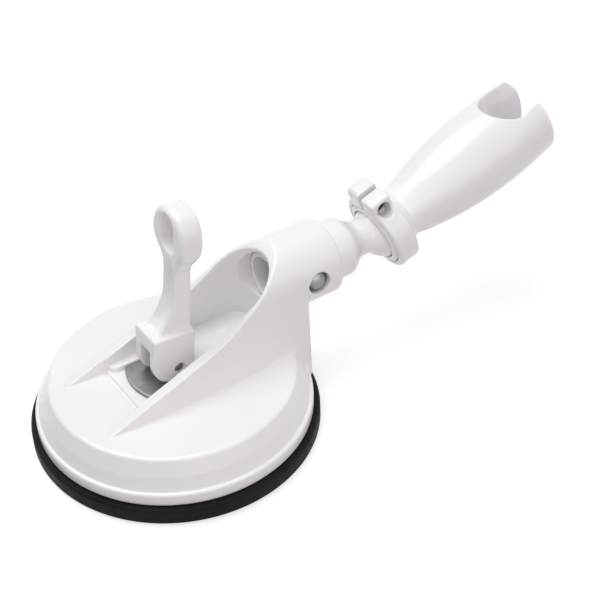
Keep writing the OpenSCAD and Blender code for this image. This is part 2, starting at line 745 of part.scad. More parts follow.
module clamp_ring() {
    color(white) at_holder() difference() {
        union() {
            turned(concat(
                [[-ring_back, 0]],
                arc([-ring_back + ring_round, ring_out_r - ring_round], ring_round, 180, 90, 4),
                arc([ring_front - ring_round, ring_out_r - ring_round], ring_round, 90, 0, 4),
                [[ring_front, 0]]));
            ring_ears();
        }
        translate([-ring_back - over, 0, 0]) along_x() cylinder(r = ring_in_r, h = ring_w + 2 * over);
        translate([-ring_back - over, slit_y - slit_w / 2, 0])
            cube([ring_w + 2 * over, slit_w, 2 * ring_out_r]);
        translate([ring_mid, near_face - over, screw_z]) along_y()
            cylinder(r = screw_d / 2 + screw_gap, h = far_face - near_face + 2 * over);
        translate([ring_mid, near_face - over, screw_z]) along_y()
            cylinder(r = pocket_r, h = head_seat - near_face + over);
        translate([ring_mid, nut_seat, screw_z]) along_y()
            cylinder(d = (nut_w + 2 * screw_gap) / cos(30), h = nut_t + screw_gap + over, $fn = 6);
    }
}

module clamp_screw() {
    head_end = head_seat - washer_t;
    key_depth = head_h * 0.6;
    color(steel) at_holder() translate([ring_mid, 0, screw_z]) difference() {
        union() {
            translate([0, head_end - head_h, 0]) along_y() cylinder(d = head_d, h = head_h);
            translate([0, head_end - head_h / 2, 0]) along_y()
                cylinder(d = screw_d, h = far_face - head_end + head_h / 2);
        }
        translate([0, head_end - head_h - over, 0]) along_y()
            cylinder(d = key_w / cos(30), h = key_depth + over, $fn = 6);
    }
}

module clamp_washer() {
    color(steel) at_holder() translate([ring_mid, head_seat - washer_t, screw_z]) along_y() difference() {
        cylinder(d = head_d, h = washer_t);
        translate([0, 0, -over]) cylinder(r = screw_d / 2 + fit_gap, h = washer_t + 2 * over);
    }
}

module clamp_nut() {
    color(steel) at_holder() translate([ring_mid, nut_seat, screw_z]) along_y() difference() {
        cylinder(d = nut_w / cos(30), h = nut_t, $fn = 6);
        translate([0, 0, -over]) cylinder(r = screw_d / 2 + fit_gap, h = nut_t + 2 * over);
    }
}

// Barrel with its ball socket, hollow inside
module barrel() {
    rim_r = skirt_r - 1.6;
    hollow_x = sqrt(pow(cavity_r, 2) - pow(throat_r / 2, 2));
    difference() {
        turned(concat(
            [[-skirt_reach, 0], [-skirt_reach, rim_r], [-ring_back - 0.2, skirt_r], [ring_front - 1.4, skirt_r]],
            curve([throat_x, throat_r], [throat_x + 17, throat_r + 5.2],
                  [swell_x - 16, holder_r], [swell_x, holder_r], 14),
            curve([swell_x + 2, holder_r], [swell_x + 10, holder_r], [rim_x - 8, end_r + 0.7],
                  [rim_x - 0.5, end_r], 8),
            arc([rim_x, rim_in], holder_round, 80, rim_deg, 4),
            arc([dome_x, 0], end_dome_r, rim_deg * 7 / 8, 0, 7)));
        sphere(r = cavity_r);
        translate([-skirt_reach - over, 0, 0]) along_x()
            cylinder(r = sqrt(pow(cavity_r, 2) - pow(skirt_reach, 2)), h = over + 0.01);
        turned([[hollow_x - 0.5, 0], [hollow_x - 0.5, throat_r / 2], [throat_x + 8, throat_r - holder_t],
                [swell_x - 22, holder_r - 2 * holder_t], [core_x, holder_r - 1.5 * holder_t], [core_x, 0]]);
    }
}

module holder() {
    color(white) at_holder() difference() {
        barrel();
        translate([cradle_x, 0, -holder_d]) cylinder(r = cradle_r, h = 2 * holder_d);
        translate([cradle_x, 0, holder_r - lead_h]) cylinder(r1 = cradle_r, r2 = cradle_r + lead_w, h = lead_h + over);
        translate([cradle_x, -slot_w / 2, -holder_d]) cube([holder_l, slot_w, 2 * holder_d]);
        translate([-skirt_reach - over, 0, -skirt_slit_w / 2])
            cube([skirt_reach + over + ring_front - 2, skirt_r + over, skirt_slit_w]);
    }
}

suction_pad();
pad_plate();
draw_stud();
release_spring();
base_housing();
wear_plate();
lever();
lever_pin();
neck();
snap_button();
button_spring();
ball_liner();
clamp_ring();
clamp_screw();
clamp_washer();
clamp_nut();
holder();
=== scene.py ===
"""Looks of the lever-lock suction cup with its ball-jointed holder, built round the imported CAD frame.

Lengths in the shape code are millimetres. They are in the CAD frame, or in a frame on the pin for
the lever and on the ball's centre for the clamp ring and the holder. Blender objects are metres.
Moulded pieces are made as distance fields, so that every edge has its own rounding, and then meshed.
"""

import functools
import math

import bpy
import numpy as np
import openvdb
from mathutils import Matrix, Vector


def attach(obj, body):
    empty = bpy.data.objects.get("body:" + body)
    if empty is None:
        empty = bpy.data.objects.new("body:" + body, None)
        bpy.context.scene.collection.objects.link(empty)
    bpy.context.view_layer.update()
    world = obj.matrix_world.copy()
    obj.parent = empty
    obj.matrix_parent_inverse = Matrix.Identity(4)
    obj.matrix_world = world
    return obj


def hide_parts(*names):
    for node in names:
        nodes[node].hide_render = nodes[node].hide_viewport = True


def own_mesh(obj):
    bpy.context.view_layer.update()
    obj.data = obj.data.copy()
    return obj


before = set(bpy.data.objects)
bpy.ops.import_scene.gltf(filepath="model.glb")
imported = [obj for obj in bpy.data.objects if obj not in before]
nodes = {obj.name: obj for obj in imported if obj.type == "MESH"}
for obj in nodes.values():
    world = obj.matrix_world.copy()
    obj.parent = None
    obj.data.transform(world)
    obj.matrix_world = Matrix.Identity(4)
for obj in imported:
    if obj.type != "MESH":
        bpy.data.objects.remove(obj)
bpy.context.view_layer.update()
MM = 0.001

# Pad and disc
PAD_R = 60.0
FLANGE_R, FLANGE_Z = 57.4, 7.8
TOP_Z = 26.4
STUD_HOLE_R = 4.55

# Bracket: the walls' front tips, the well between the walls, and its floors
TIP_X = -39.6
WELL_R, WELL_X = 15.3, 31.0
WELL_FRONT, FLOOR_Z = -22.5, 27.0
RAISED_X, RAISED_Z = 8.1, 29.4

# Socket tube, shaft in it, and the button's place
AXIS_Z, TUBE_R, TUBE_END = 52.2, 16.5, 75.2
SHAFT_X, SHAFT_R, SHAFT_BORE_R = 46.9, 12.0, 9.6
BUTTON_X = 63.1

# Lever: its pin, its lean at rest, and the cam's least reach, lift and swing in degrees
PIN_Z, LEAN = 33.4, math.radians(6)
CAM_LOW, LIFT, SWING = 4.6, 7.4, 96

# Ball joint, clamp ring with its slit and screw, and cradle
BALL, BALL_R = (107.3, 0.0, 52.2), 12.2
TILT = math.radians(18.8)
RING_BACK, RING_FRONT = -5.0, 5.0
SLIT_Y, SLIT_W = 0.62, 2.05
SCREW_X, SCREW_Z = -0.35, 17.1
CRADLE_X, CRADLE_R = 72.4, 10.2

# Seats of the release spring
SPRING_LOW, SPRING_HIGH = 6.6, 23.3

LEVER_PLACE = Matrix.Translation((0, 0, PIN_Z)) @ Matrix.Rotation(LEAN, 4, "Y")
HOLDER_PLACE = Matrix.Translation(BALL) @ Matrix.Rotation(-TILT, 4, "Y")
ALONG_Y = Matrix.Rotation(-math.pi / 2, 4, "X")
AGAINST_Y = Matrix.Rotation(math.pi / 2, 4, "X")


def lattice(lo, hi, step):
    """Coordinates of a grid over the box from lo to hi, ready to broadcast."""
    return np.ix_(*[np.arange(a, b + step, step, dtype=np.float32) for a, b in zip(lo, hi)])


def join(a, b, r=0.02):
    """Union of two fields, with a fillet of radius r."""
    return np.maximum(np.minimum(a, b), r) - np.hypot(np.maximum(r - a, 0), np.maximum(r - b, 0))


def meet(a, b, r=0.02):
    """Common part of two fields, with its edge rounded to radius r."""
    return -join(-a, -b, r)


def cut(a, b, r=0.02):
    """Field a with b taken out, and the new edge rounded to radius r."""
    return meet(a, -b, r)


def overlap(*fields):
    """Common part of any number of fields, with sharp edges."""
    return functools.reduce(np.maximum, fields)


def vary(along, stations, values):
    """Size that changes along one coordinate."""
    return np.interp(along, stations, values).astype(np.float32)


def arc(mid, r, start, end, n=6):
    """Points of an arc of radius r about mid, between two angles in degrees."""
    angles = [math.radians(start + (end - start) * i / n) for i in range(n + 1)]
    return [(mid[0] + r * math.cos(a), mid[1] + r * math.sin(a)) for a in angles]


def curve(a, b, c, d, n=12):
    """Points of a cubic curve from a to d, with handles b and c."""
    a, b, c, d = (np.array(q) for q in (a, b, c, d))
    t = np.linspace(0, 1, n + 1)[:, None]
    s = 1 - t
    return [tuple(q) for q in s ** 3 * a + 3 * s ** 2 * t * b + 3 * s * t ** 2 * c + t ** 3 * d]


def through(points, n=12):
    """Points of a smooth curve through all the given ones."""
    p = np.array(points, float)
    made = []
    for i in range(len(p) - 1):
        a, b, c, d = p[max(i - 1, 0)], p[i], p[i + 1], p[min(i + 2, len(p) - 1)]
        for k in range(n):
            t = k / n
            bend = (2 * a - 5 * b + 4 * c - d) + t * (3 * (b - c) + d - a)
            made.append(b + t / 2 * ((c - a) + t * bend))
    return np.array(made + [p[-1]])


def swapped(points):
    """Points with their two coordinates exchanged."""
    return [(b, a) for a, b in points]


def outline(points, u, v):
    """Signed distance to a closed outline in two coordinates, negative inside."""
    p = np.array(points, np.float32)
    near, inside = np.float32(1e9), False
    for (ax, ay), (bx, by) in zip(p, np.roll(p, -1, 0)):
        ex, ey = bx - ax, by - ay
        if ex * ex + ey * ey < 1e-10:
            continue
        wx, wy = u - ax, v - ay
        t = np.clip((wx * ex + wy * ey) / (ex * ex + ey * ey), 0, 1)
        near = np.minimum(near, (wx - ex * t) ** 2 + (wy - ey * t) ** 2)
        if ey != 0:
            inside = inside ^ (((ay > v) != (by > v)) & (u < ax + (v - ay) * ex / ey))
    return np.where(inside, -1, 1) * np.sqrt(near)


def turned(points, along, radius, axis):
    """Field of an outline of [station, radius] points turned about a grid axis (0 for X, 2 for Z)."""
    step = 0.15
    r = np.arange(0, radius.max() + 3 * step, step, dtype=np.float32)
    both = list(points) + [(s, -q) for s, q in reversed(points)]
    table = outline(both, along.reshape(1, -1), r.reshape(-1, 1)).astype(np.float32)
    at = np.squeeze(radius) / step
    low = at.astype(np.int32)
    share = (at - low)[..., None]
    return np.moveaxis(table[low] * (1 - share) + table[low + 1] * share, -1, axis)


def placed(points, place):
    """Points moved by a matrix, or left where they are."""
    points = np.asarray(points, np.float64)
    if place is None:
        return points
    m = np.array(place)
    return points @ m[:3, :3].T + m[:3, 3]


def finished(name, mesh, body, stands_for=()):
    """Object of a mesh, on its body, in place of the CAD nodes named."""
    obj = bpy.data.objects.new(name, mesh)
    bpy.context.scene.collection.objects.link(obj)
    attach(obj, body)
    if stands_for:
        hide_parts(stands_for)
    return obj


def new_mesh(name, points, faces):
    """Mesh in metres from points in millimetres and quads, turned outwards and shaded smooth."""
    points, faces = np.asarray(points, np.float64), np.asarray(faces, np.int32)
    a, b, c, d = (points[faces[:, k]] for k in range(4))
    volume = np.einsum("ij,ij->i", a, np.cross(b, c)).sum() + np.einsum("ij,ij->i", a, np.cross(c, d)).sum()
    if volume < 0:
        faces = faces[:, ::-1]
    mesh = bpy.data.meshes.new(name)
    mesh.vertices.add(len(points))
    mesh.vertices.foreach_set("co", (points * MM).astype(np.float32).ravel())
    mesh.loops.add(faces.size)
    mesh.loops.foreach_set("vertex_index", faces.ravel())
    mesh.polygons.add(len(faces))
    mesh.polygons.foreach_set("loop_start", np.arange(0, faces.size, faces.shape[1], dtype=np.int32))
    mesh.update(calc_edges=True)
    mesh.validate()
    mesh.shade_smooth()
    return mesh


def moulded(name, field, lo, step, body, stands_for, place=None):
    """Piece whose skin is the zero level of a field on the grid that starts at lo."""
    band = 3 * step
    grid = openvdb.FloatGrid(band)
    grid.copyFromArray(np.clip(field, -band, band).astype(np.float32))
    points, quads = grid.convertToQuads(0.0)
    points = placed(points.astype(np.float64) * step + np.array(lo), place)
    return finished(name, new_mesh(name, points, quads), body, stands_for)


def lathe(name, profile, body, stands_for, place=None, segments=144):
    """Piece turned about +Z from [radius, height] points that start and end on the axis, or close a ring."""
    around = np.linspace(0, 2 * math.pi, segments, endpoint=False)
    mids = [p for p in profile if p[0] > 1e-6]
    points = [(r * math.cos(a), r * math.sin(a), z) for r, z in mids for a in around]
    is_ring = len(mids) == len(profile)
    faces = []
    for i in range(len(mids) if is_ring else len(mids) - 1):
        row, after = i * segments, (i + 1) % len(mids) * segments
        for k in range(segments):
            j = (k + 1) % segments
            faces.append((row + k, row + j, after + j, after + k))
    if not is_ring:
        low, high, last = len(points), len(points) + 1, (len(mids) - 1) * segments
        points += [(0, 0, profile[0][1]), (0, 0, profile[-1][1])]
        for k in range(segments):
            j = (k + 1) % segments
            faces += [(low, j, k), (high, last + k, last + j)]
    mesh = bpy.data.meshes.new(name)
    mesh.from_pydata([tuple(p) for p in placed(points, place) * MM], [], faces)
    mesh.update()
    mesh.shade_smooth()
    mesh.set_sharp_from_angle(angle=math.radians(50))
    return finished(name, mesh, body, stands_for)


def coil(name, r, wire, h, turns, place, body, stands_for):
    """Round wire wound about +Z, its middle from z = 0 to h, with closed end turns and flat ends."""
    steps, sides, closed = int(turns * 40), 12, 0.75
    stations = [0, closed, turns - closed, turns]
    heights = [0, closed * wire, h - closed * wire, h]
    points = []
    for i in range(steps + 1):
        turn = turns * i / steps
        a = 2 * math.pi * turn
        rise = np.interp(turn, stations, heights)
        for k in range(sides):
            b = 2 * math.pi * k / sides
            q = r + wire / 2 * math.cos(b)
            points.append((q * math.cos(a), q * math.sin(a), rise + wire / 2 * math.sin(b)))
    faces = []
    for row in range(0, steps * sides, sides):
        for k in range(sides):
            j = (k + 1) % sides
            faces.append((row + k, row + j, row + sides + j, row + sides + k))
    for k in range(sides // 2 - 1):
        end = (k, sides - 1 - k, sides - 2 - k, k + 1)
        faces += [end, tuple(steps * sides + j for j in reversed(end))]
    return finished(name, new_mesh(name, placed(points, place), faces), body, stands_for)


def housing():
    """Disc, bracket and socket tube in one moulding."""
    step = 0.4
    lo = (-61.0, -60.0, 6.0)
    x, y, z = lattice(lo, (78, 60, 71), step)
    side, radius, spoke = np.abs(y), np.hypot(x, y), np.hypot(y, z - AXIS_Z)

    # Disc with its flange
    flange_soft, brow_soft = 1.2, 1.8
    disc = turned([(FLANGE_Z, 0), (FLANGE_Z, FLANGE_R - 0.5), (FLANGE_Z + 0.5, FLANGE_R)]
                  + swapped(arc((FLANGE_R - flange_soft, 12.4), flange_soft, 0, 90))
                  + [(13.6, 55.8), (19.4, 53.8)]
                  + swapped(arc((49.4, TOP_Z - brow_soft), brow_soft, 20, 90)) + [(TOP_Z, 0)], z, radius, 2)

    # Walls, by their half-widths along x at the foot and at the height of the tube's axis
    low = through([(TIP_X, 21.34), (8, 24.44), (30, 23.74), (47, 20.8), (FLANGE_R, 17.4)])
    high = through([(TIP_X, 17.43), (8, 18.4), (30, 17.7), (46, 16.8), (FLANGE_R, TUBE_R)])
    foot = np.interp(x, low[:, 0], low[:, 1])
    head = np.interp(x, high[:, 0], high[:, 1])
    rise = np.clip((z - FLANGE_Z) / (AXIS_Z - FLANGE_Z), 0, 1)
    slope = 0.985
    walls = np.where(z > AXIS_Z,
                     (np.hypot(y / head, (z - AXIS_Z) / TUBE_R) - 1) * TUBE_R,
                     (side - foot - (head - foot) * rise) * slope)
    walls = meet(walls, np.maximum(x - FLANGE_R, TIP_X - x), 1.0)

    # Tube, and the rims of the walls as they show from the side
    end_soft = 1.6
    tube = turned([(0, 0), (0, TUBE_R)] + arc((TUBE_END - end_soft, TUBE_R - end_soft), end_soft, 90, 0)
                  + [(TUBE_END, 0)], x, spoke, 0)
    rims = outline([(-60, 0), (-60, 19.35)] + curve((8, 43.6), (29, 51.2), (41, 64), (51, 68.8), 24)
                   + [(56, 71.0), (90, 78), (90, 0)], x, z)
    arm = meet(np.minimum(walls, tube), rims, 0.35)

    # Well, with thinner fins ahead of it
    step_w, under_z = 0.4, 24.0
    set_back = 0.8 * np.clip((WELL_FRONT + 0.2 - x) / step_w, 0, 1)
    plan = np.hypot(np.maximum(x - WELL_X, 0), y) - WELL_R - set_back
    floor = under_z + (FLOOR_Z - under_z) * np.clip((x - WELL_FRONT) / step_w, 0, 1)
    arm = cut(arm, np.maximum(plan, floor - z), 0.3)
    body = join(disc, arm, vary(x, [-36, -24, 30, 44, 54], [0.02, 0.6, 0.6, 2.0, 2.5]))

    # Raised floor with a round mark, and rails along the wear plate
    rail = outline([(RAISED_X, 18), (-21, 18)] + arc((-17.9, 14.8), 3.1, 180, 270) + [(RAISED_X, 11.7)],
                   x, side)
    raised = overlap(join(rail, RAISED_X - x, 0.8), side - 17, x - 50, 25 - z)
    raised = meet(raised, z - RAISED_Z, 0.5)
    mark_x, mark_y, mark_r, mark_deep = 27.6, 4.0, 3.2, 0.25
    mark = np.maximum(np.hypot(x - mark_x, y - mark_y) - mark_r, RAISED_Z - mark_deep - z)
    body = join(body, cut(raised, mark, 0.05), 0.25)

    # Hollow under the disc, with ribs and a guide for the stud
    roof_z, guide_r, guide_z = 23.4, 7.75, 17.4
    rib_count, rib_w, rib_in, rib_z = 8, 2.0, 12, 19.4
    hollow = turned([(5, 0), (5, 52.8), (13.6, 52.8), (19.4, 50.8), (roof_z, 48.2), (roof_z, 0)],
                    z, radius, 2)
    pitch = 2 * math.pi / rib_count
    turn = np.mod(np.arctan2(y, x), pitch) - pitch / 2
    rib = overlap(np.abs(radius * np.sin(turn)) - rib_w / 2, rib_in - radius, rib_z - z)
    guide = np.maximum(radius - guide_r, guide_z - z)
    body = cut(body, np.maximum(hollow, -np.minimum(rib, guide)), 0.3)
    body = cut(body, radius - STUD_HOLE_R, 0.3)

    # Shaft's bore, button's hole, and fine lines on the tube and across the well's front
    bore_r, button_r = SHAFT_R + 0.1, 5.0
    body = cut(body, np.maximum(spoke - bore_r, WELL_X - x), 0.35)
    body = cut(body, np.maximum(np.hypot(x - BUTTON_X, z - AXIS_Z) - button_r, y), 0.45)
    line_w, line_deep = 0.8, 0.6
    seam = overlap(np.abs(x - 57.8) - line_w / 2, np.abs(z - 49.5) - 4.1, TUBE_R - line_deep - spoke)
    body = cut(body, seam, 0.05)
    line = overlap(np.abs(x - (WELL_FRONT - 0.2)) - line_w / 2, side - WELL_R - line_deep, 25.9 - z)
    body = cut(body, line, 0.05)
    return moulded("housing_moulding", body, lo, step, "base", "base_housing")


def lever():
    """Clevis block with its cam, waisted and dished stem, and looped head."""
    step = 0.35
    lo = (-15.0, -13.5, -13.0)
    x, y, z = lattice(lo, (10.5, 13.5, 77), step)
    side, pin = np.abs(y), np.hypot(x, z)

    # Block on a cam that lifts the pin evenly as the lever swings
    top, half_w, back = 17.0, 7.8, 6.8
    rate = LIFT / math.radians(SWING)
    cam = []
    for i in range(33):
        a = math.radians(SWING * i / 32) - LEAN
        reach = CAM_LOW + rate * (a + LEAN)
        cam.append((-reach * math.sin(a) - rate * math.cos(a), -reach * math.cos(a) + rate * math.sin(a)))
    heel = -CAM_LOW - rate * math.sin(LEAN) + (4.5 + rate) * math.tan(LEAN)
    block = outline(cam + [(-12, 24), (back, 24), (back, -2.3), (4.5, heel)], x, z)
    block = meet(meet(block, side - half_w, 0.9), z - top, 0.9)

    # Stem and head from the side
    front_line = curve((-9.6, top - 0.5), (-6.2, top + 4), (-1.3, top + 9), (-1.3, top + 19), 16)
    front_line += [(-1.3, 48), (-1.8, 53), (-2.5, 58)]
    stem = outline(front_line + arc((0.8, 69.5), 3.4, 180, 90) + arc((4.5, 69.5), 3.4, 90, 0)
                   + [(7.9, 51)] + arc((7.9, 46.4), 1.6, 90, 180, 4) + [(6.3, top - 0.5)], x, z)

    # Stem and head from the front, as heights and half-widths
    head_z, head_h, head_w = 59.5, 13.4, 11.8
    turns = [math.radians(a) for a in range(-30, 91, 4)]
    half = (curve((top - 2, 5.2), (top + 6, 5.0), (top + 8, 4.9), (top + 14, 4.9), 10)
            + curve((40, 4.9), (46, 4.9), (49, 7.4), (52.2, 9.95), 8)
            + [(head_z + head_h * math.sin(a), head_w * math.cos(a)) for a in turns]
            + [(head_z + head_h, 0)])
    front = outline([(-w, q) for q, w in half] + [(w, q) for q, w in reversed(half)], y, z)
    soft = vary(z, [14, 20, 40, 50, 60], [0.8, 1.0, 1.2, 2.8, 2.8])
    body = join(block, meet(stem, front, soft), 1.2)

    # Dish down the stem's front, and the loop
    ahead = outline([(-40, top - 0.5)] + front_line + [(-40, 56)], x, z)
    dish_r = vary(z, [17, 24, 34], [8, 4.6, 4.0])
    depth = vary(z, [15, 20, 38, 45, 50], [1.2, 2.5, 2.3, 1.2, 0.0])
    dish = np.hypot(ahead + dish_r - depth, y) - dish_r
    body = cut(body, overlap(dish, top + 0.4 - z, z - 49), 0.5)
    loop_z, loop_h, loop_r = 60.9, 3.7, 4.9
    loop = np.hypot(y, np.maximum(np.abs(z - loop_z) - loop_h, 0)) - loop_r
    body = cut(body, loop, 0.9)

    # Slot with room for the stud at both ends of the swing, and the pin's hole and recesses
    gap_w, eye_r, hole_r, recess_r, recess_deep = 7.6, 4.9, 2.05, 2.6, 0.8
    between = side - gap_w / 2
    slot = overlap(between, z - 10, x)
    level_x = x * math.cos(LEAN) + z * math.sin(LEAN)
    level_z = z * math.cos(LEAN) - x * math.sin(LEAN)
    drop = overlap(np.abs(level_x - 1.95) - 2.95, level_z, between)
    eye = np.maximum(pin - eye_r, between)
    body = cut(body, np.minimum(np.minimum(slot, drop), eye), 0.45)
    body = cut(body, pin - hole_r, 0.1)
    body = cut(body, np.maximum(pin - recess_r, half_w - recess_deep - side), 0.25)
    return moulded("lever_moulding", body, lo, step, "lever", "lever", LEVER_PLACE)


def neck():
    """Hollow plug-in shaft with collar, waist and ball."""
    step = 0.4
    lo = (45.0, -14.0, 38.2)
    x, y, z = lattice(lo, (121, 14, 66.4), step)
    spoke = np.hypot(y, z - AXIS_Z)
    chamfer, waist_r, bore_end, button_r = 0.7, 8.1, 74.2, 4.75
    body = turned([(SHAFT_X, 0), (SHAFT_X, SHAFT_R - chamfer), (SHAFT_X + chamfer, SHAFT_R)]
                  + [(TUBE_END + 0.1, SHAFT_R)] + arc((TUBE_END + 1.0, 12.1), 0.9, 180, 90)
                  + curve((83.2, 13), (86.4, 12.7), (88.4, waist_r), (93.0, waist_r))
                  + [(107, waist_r), (107, 0)], x, spoke, 0)

    # Ball, fuller on the neck's side, where it shows outside its liner
    fuller = 0.75 * np.clip((BALL[0] - 1.6 - x) / 0.5, 0, 1)
    ball = np.hypot(np.hypot(x - BALL[0], y), z - AXIS_Z) - BALL_R - fuller
    body = join(body, ball, 1.6)
    body = cut(body, np.maximum(spoke - SHAFT_BORE_R, x - bore_end), 0.4)
    body = cut(body, np.maximum(np.hypot(x - BUTTON_X, z - AXIS_Z) - button_r, y), 0.2)
    return moulded("neck_moulding", body, lo, step, "base", "neck")


def clamp_ring():
    """Split ring with two ears, a screw pocket and a nut pocket."""
    step = 0.3
    lo = (-7.0, -20.0, -20.0)
    x, y, z = lattice(lo, (8, 20, 25), step)
    spoke = np.hypot(y, z)
    ring = turned([(RING_BACK, 0)] + arc((RING_BACK + 1.6, 16.5), 1.6, 180, 90)
                  + arc((RING_FRONT - 1.2, 16.9), 1.2, 90, 0) + [(RING_FRONT, 0)], x, spoke, 0)

    # Ears, the far one rounder and a little taller
    near_top, near_soft, far_top, far_soft = 22.26, 1.4, 22.96, 3.2
    ears = outline([(-8.1, 0)] + arc((-6.7, near_top - near_soft), near_soft, 180, 90)
                   + [(SLIT_Y, near_top), (SLIT_Y, far_top)]
                   + arc((7.4, far_top - far_soft), far_soft, 90, 0) + [(10.6, 0)], y, z)
    ears = meet(ears, np.abs(x + 0.8) - 5.1, vary(y, [1, 4], [1.1, 2.2]))
    bore_r = 15.2
    body = join(ring, ears, 1.0)
    body = cut(body, spoke - bore_r, 0.4)
    body = cut(body, np.maximum(np.abs(y - SLIT_Y) - SLIT_W / 2, -z), 0.6)

    # Screw's hole, pocket for its head, and six-sided pocket for the nut
    hole_r, pocket_r, pocket_y, nut_half, nut_y = 1.7, 3.2, -2.7, 2.95, 7.1
    screw = np.hypot(x - SCREW_X, z - SCREW_Z)
    body = cut(body, screw - hole_r, 0.2)
    body = cut(body, overlap(screw - pocket_r, bore_r + 0.2 - spoke, y - pocket_y), 0.4)
    flat = np.abs(z - SCREW_Z)
    hexagon = np.maximum(flat * 0.5 + np.abs(x - SCREW_X) * math.sqrt(0.75), flat) - nut_half
    body = cut(body, np.maximum(hexagon, nut_y - y), 0.3)
    return moulded("clamp_ring_moulding", body, lo, step, "clamp", "clamp_ring",
                   HOLDER_PLACE)


def holder():
    """Hollow barrel with a split ball socket and an open cradle."""
    step = 0.4
    lo = (-8.0, -20.0, -20.0)
    x, y, z = lattice(lo, (89, 20, 20), step)
    side, spoke = np.abs(y), np.hypot(y, z)

    # Barrel from the socket's skirt to a domed end with a soft rim
    end, dome_r, rim_r, rim_soft = 88.0, 31, 17.8, 3.0
    skirt_r, belly_r, socket_r = 14.9, 18.9, 13.4
    dome_x, rim_in = end - dome_r, rim_r - rim_soft
    rim_x = dome_x + math.sqrt((dome_r - rim_soft) ** 2 - rim_in ** 2)
    lean = math.degrees(math.asin(rim_in / (dome_r - rim_soft)))
    body = turned([(-5.9, 0), (-5.9, 13.6), (-5.5, 14.3), (-5.0, skirt_r), (4.6, skirt_r)]
                  + curve((9.3, 11.4), (26.3, 16.6), (42, belly_r), (58, belly_r), 24)
                  + curve((60, belly_r), (68, belly_r), (rim_x - 8, 18.5), (rim_x - 0.5, rim_r), 12)
                  + arc((rim_x, rim_in), rim_soft, 80, lean)
                  + arc((dome_x, 0), dome_r, lean * 0.9, 0, 14), x, spoke, 0)
    body = cut(body, np.hypot(spoke, x) - socket_r, 0.3)
    inside = turned([(12, 0), (12, 5.7), (17.3, 8.8), (36, 13.7), (58, 15.0), (58, 0)], x, spoke, 0)
    body = cut(body, inside, 0.3)

    # Cradle, tapered below, flared at its top and open to the end by a slot
    taper, lip, slot_w, slot_flare, round_flare = 0.05, 0.4, 17, 2.3, 1.7
    wide = CRADLE_R + taper * np.clip(z, -18, 0) + lip * np.clip((z - 12.9) / 6, 0, 1)
    flare = np.clip((z - 6.5) / 7.5, 0, 1)
    off = np.maximum(side - round_flare * flare * np.clip((x - 63) / 12, 0, 1), 0)
    slot = np.maximum(side - slot_w / 2 - slot_flare * flare, CRADLE_X - x)
    mouth = np.minimum(np.hypot(x - CRADLE_X, off) - wide, slot)
    body = cut(body, mouth, vary(x, [70, 80], [1.5, 1.1]))

    # Slit on the far side of the skirt
    slit_w, slit_end = 1.4, 3
    body = cut(body, overlap(np.abs(z) - slit_w / 2, x - slit_end, -y), 0.2)
    return moulded("holder_moulding", body, lo, step, "holder", "holder", HOLDER_PLACE)


def pad():
    """Rubber pad with a soft outer rim and a thinner middle."""
    rim_z, web_z = 7.8, 4.4
    profile = [(0, 0), (30, 0), (58.2, 0)] + arc((58.5, 1.5), 1.5, -80, 0)
    profile += [(PAD_R, 3.0), (PAD_R, 4.8)] + arc((58.4, 6.2), 1.6, 0, 90)
    profile += [(56, rim_z), (54.6, rim_z)] + arc((54.6, 7.0), 0.8, 90, 130)
    profile += [(51.2, 4.6), (50.2, web_z), (30, web_z), (0, web_z)]
    return lathe("pad_rubber", profile, "base", "suction_pad", segments=200)


def snap_button():
    """Steel button with a domed end and a foot."""
    edge_r, dome_h, peak = 4.6, 2.2, 16.2
    dome_r = (edge_r ** 2 + dome_h ** 2) / (2 * dome_h)
    half = math.degrees(math.asin(edge_r / dome_r))
    profile = [(0, 6.29), (4.8, 6.29), (5, 6.49), (5, 7.99), (4.9, 8.09), (edge_r, 8.09)]
    profile += arc((0, peak - dome_r), dome_r, 90 - half, 90, 20)
    profile[-1] = (0, peak)
    place = Matrix.Translation((BUTTON_X, 0, AXIS_Z)) @ AGAINST_Y
    return lathe("button_dome", profile, "button", "snap_button", place, 72)


def wear_plate():
    """Pressed steel plate under the cam, with soft edges and a hole for the stud."""
    step = 0.25
    lo = (-19.5, -12.5, 26.4)
    x, y, z = lattice(lo, (9, 12.5, 29.1), step)
    mid_z, half_t, half_w, back = 27.75, 0.75, 11.4, 7.8
    round_x, round_r, hole_r = 3.5, 22, 4.6
    plan = meet(np.maximum(np.hypot(x - round_x, y) - round_r, x - back), np.abs(y) - half_w, 0.8)
    plan = np.maximum(plan, hole_r - np.hypot(x, y))
    body = meet(plan, np.abs(z - mid_z) - half_t, 0.45)
    return moulded("wear_plate_pressing", body, lo, step, "base", "wear_plate")


def lever_pin():
    """Steel pin with chamfered ends."""
    end = 6.95
    half = [(2.0, end - 0.9), (1.9, end - 0.7), (1.35, end - 0.05), (1.2, end)]
    profile = [(0, -end)] + [(r, -s) for r, s in reversed(half)] + half + [(0, end)]
    return lathe("pin_turned", profile, "lever", "lever_pin", LEVER_PLACE @ AGAINST_Y, 64)


def clamp_hardware():
    """Screw with a socket head, washer and hexagon nut."""
    place = HOLDER_PLACE @ Matrix.Translation((SCREW_X, 0, SCREW_Z)) @ AGAINST_Y
    seat = 3.2
    screw = [(0, -9.9), (1.2, -9.9), (1.5, -9.6), (1.5, seat), (2.45, seat), (2.6, 3.35),
             (2.6, 4.4), (2.4, 4.6), (1.4, 4.6), (1.25, 3.5), (0, 3.4)]
    washer = [(1.6, 2.75), (3.0, 2.75), (3.0, seat), (1.6, seat)]
    nut = [(1.55, -9.6), (2.9, -9.6), (3.17, -9.4), (3.17, -7.4), (2.9, -7.2), (1.55, -7.2)]
    return (lathe("screw_turned", screw, "clamp", "clamp_screw", place, 48),
            lathe("washer_ring", washer, "clamp", "clamp_washer", place, 48),
            lathe("nut_hexagon", nut, "clamp", "clamp_nut", place, 6))


